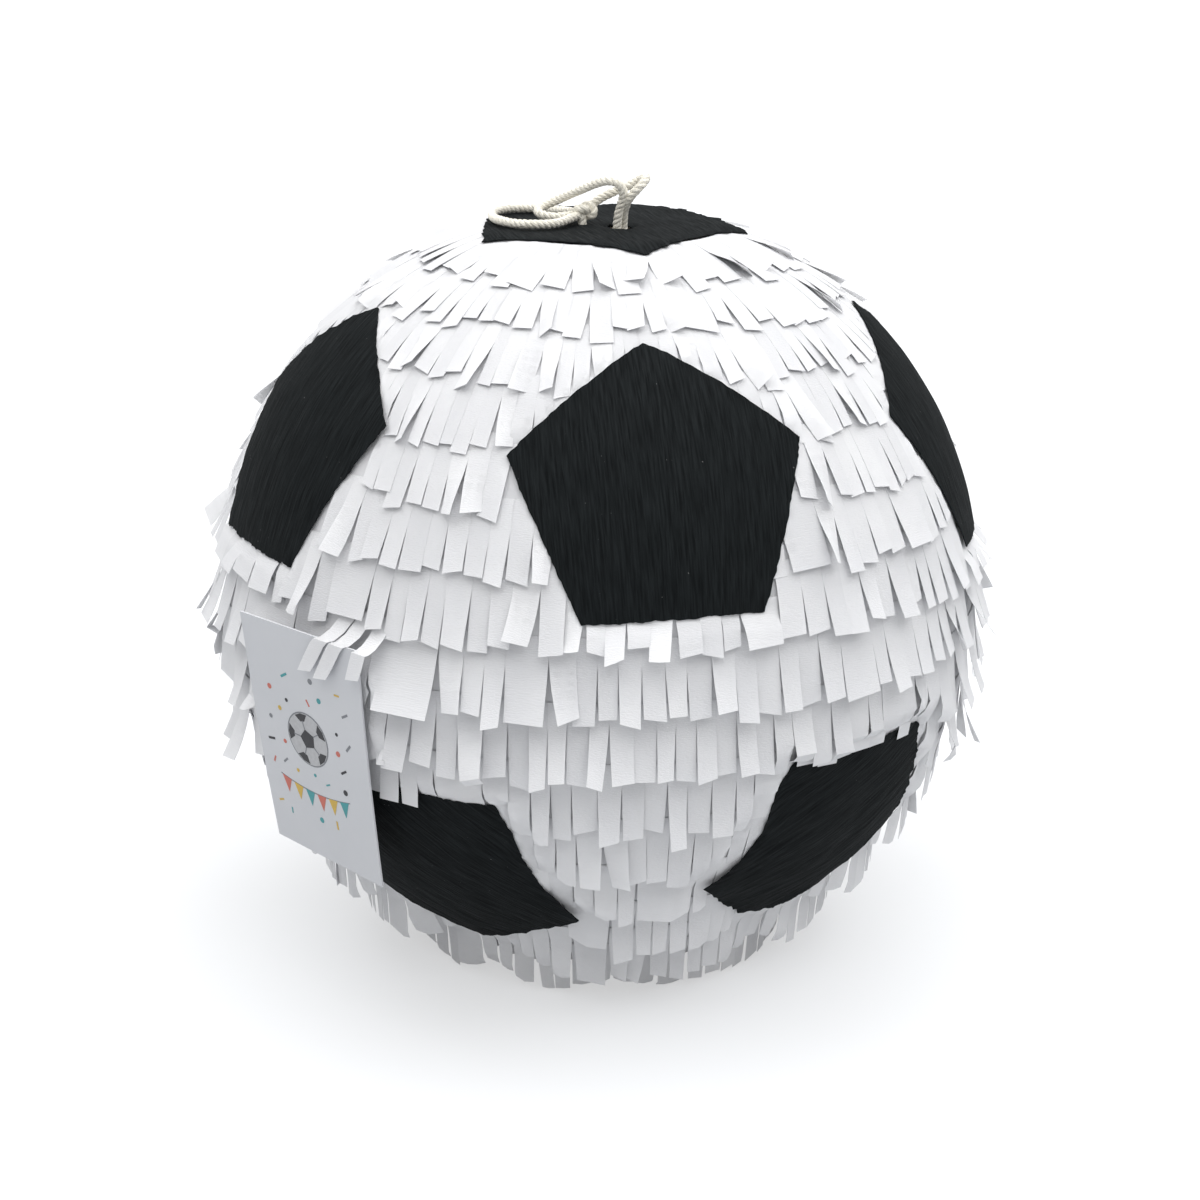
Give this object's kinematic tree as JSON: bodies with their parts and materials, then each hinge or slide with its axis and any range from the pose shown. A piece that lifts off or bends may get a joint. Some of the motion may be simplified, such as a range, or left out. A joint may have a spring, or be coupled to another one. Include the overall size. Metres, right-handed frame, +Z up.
{
  "type": "pinata",
  "caption": "Round hollow papier-mache party pinata in a football pattern, with tissue fringe, black crepe pentagons, a filler door, a hanging cord and a card tag.",
  "frame": {"origin": "on the floor, under the centre of the ball", "axes": "+Z up, -Y is the front, where the middle upper pentagon faces"},
  "size_m": [0.2668, 0.2668, 0.2681],
  "materials": {
    "tissue_fringe": "soft matt tissue",
    "black_crepe": "matt crinkled crepe",
    "papier_mache": "matt",
    "paper_tape": "matt",
    "grey_board": "matt",
    "bare_wood": "bare",
    "tab_card": "matt",
    "tag_card": "smooth uncoated",
    "cotton_cord": "twisted cotton"
  },
  "bodies": {
    "ball": {"shell_upper": "papier_mache", "shell_lower": "papier_mache", "seam_tape": "paper_tape", "crown_patch": "grey_board", "panel_base": "black_crepe", "panel_crown": "black_crepe", "panel_front": "black_crepe", "panel_left": "black_crepe", "panel_low_left": "black_crepe", "panel_low_rear": "black_crepe", "panel_low_rear_left": "black_crepe", "panel_low_rear_right": "black_crepe", "panel_low_right": "black_crepe", "panel_rear_left": "black_crepe", "panel_right": "black_crepe", "fringe_row_01": "tissue_fringe", "fringe_row_02": "tissue_fringe", "fringe_row_03": "tissue_fringe", "fringe_row_04": "tissue_fringe", "fringe_row_05": "tissue_fringe", "fringe_row_06": "tissue_fringe", "fringe_row_07": "tissue_fringe", "fringe_row_08": "tissue_fringe", "fringe_row_09": "tissue_fringe", "fringe_row_10": "tissue_fringe", "fringe_row_11": "tissue_fringe", "fringe_row_12": "tissue_fringe", "fringe_row_13": "tissue_fringe", "fringe_row_14": "tissue_fringe", "fringe_row_15": "tissue_fringe", "fringe_row_16": "tissue_fringe"},
    "hanger": {"hanging_stick": "bare_wood", "inner_cord": "cotton_cord", "cord_strand": "cotton_cord", "cord_bridge": "cotton_cord", "cord_loop": "cotton_cord", "cord_knot": "cotton_cord"},
    "filler_door": {"door_leaf": "papier_mache", "panel_door": "black_crepe", "door_tab": "tab_card"},
    "tag": {"tag_card": "tag_card"}
  },
  "joints": [
    {"name": "hanger_lift", "type": "slide", "parent": "ball", "child": "hanger", "axis": [0, 0, 1], "range_m": [0, 0.012]},
    {"name": "door_hinge", "type": "hinge", "parent": "ball", "child": "filler_door", "pos_m": [0.07521, 0.10366, 0.14929], "axis": [-0.8068, 0.5904, -0.0232], "range_deg": [0, 95]},
    {"name": "tag_lift", "type": "hinge", "parent": "ball", "child": "tag", "pos_m": [-0.10725, -0.08289, 0.13895], "axis": [-0.6146, 0.7884, 0.0259], "range_deg": [0, 75], "stiffness_Nm_per_rad": 0.002, "springref_deg": -20.05}
  ]
}
